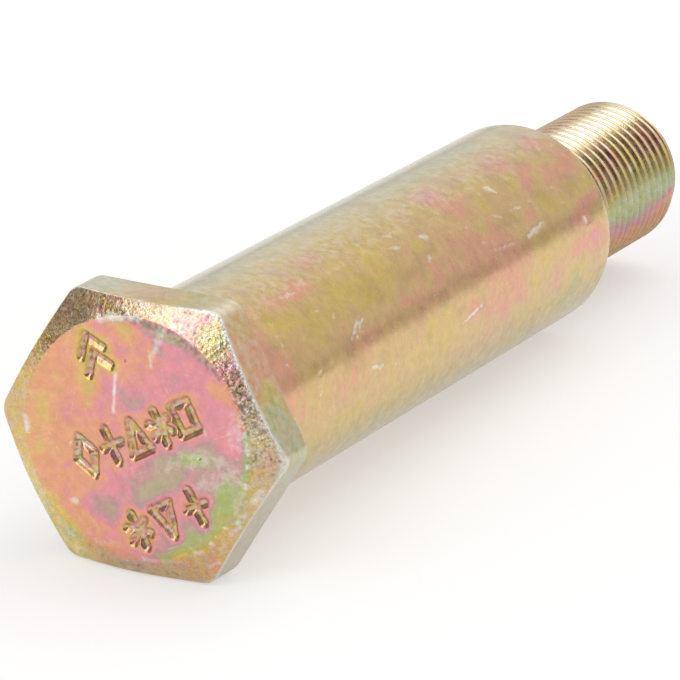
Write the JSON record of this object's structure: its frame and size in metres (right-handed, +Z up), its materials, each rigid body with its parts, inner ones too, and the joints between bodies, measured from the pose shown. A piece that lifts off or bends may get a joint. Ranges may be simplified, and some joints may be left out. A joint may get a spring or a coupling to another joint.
{
  "type": "bolt",
  "caption": "Hexagon-head shoulder bolt with a plain ground shank and a reduced fine-threaded end, yellow zinc-plated, lying on its side.",
  "frame": {"origin": "centre of the bottom of the bounding box, on the surface that the bolt lies on", "axes": "+Y along the bolt from the head to the thread, dipping 1.84 degrees towards the thread as the bolt rests; +Z up"},
  "size_m": [0.0304, 0.1064, 0.027],
  "materials": {
    "yellow_zinc_steel": "yellow iridescent zinc plating, worn to bare steel on the edges"
  },
  "bodies": {
    "root": {"shoulder_bolt": "yellow_zinc_steel"}
  },
  "joints": []
}
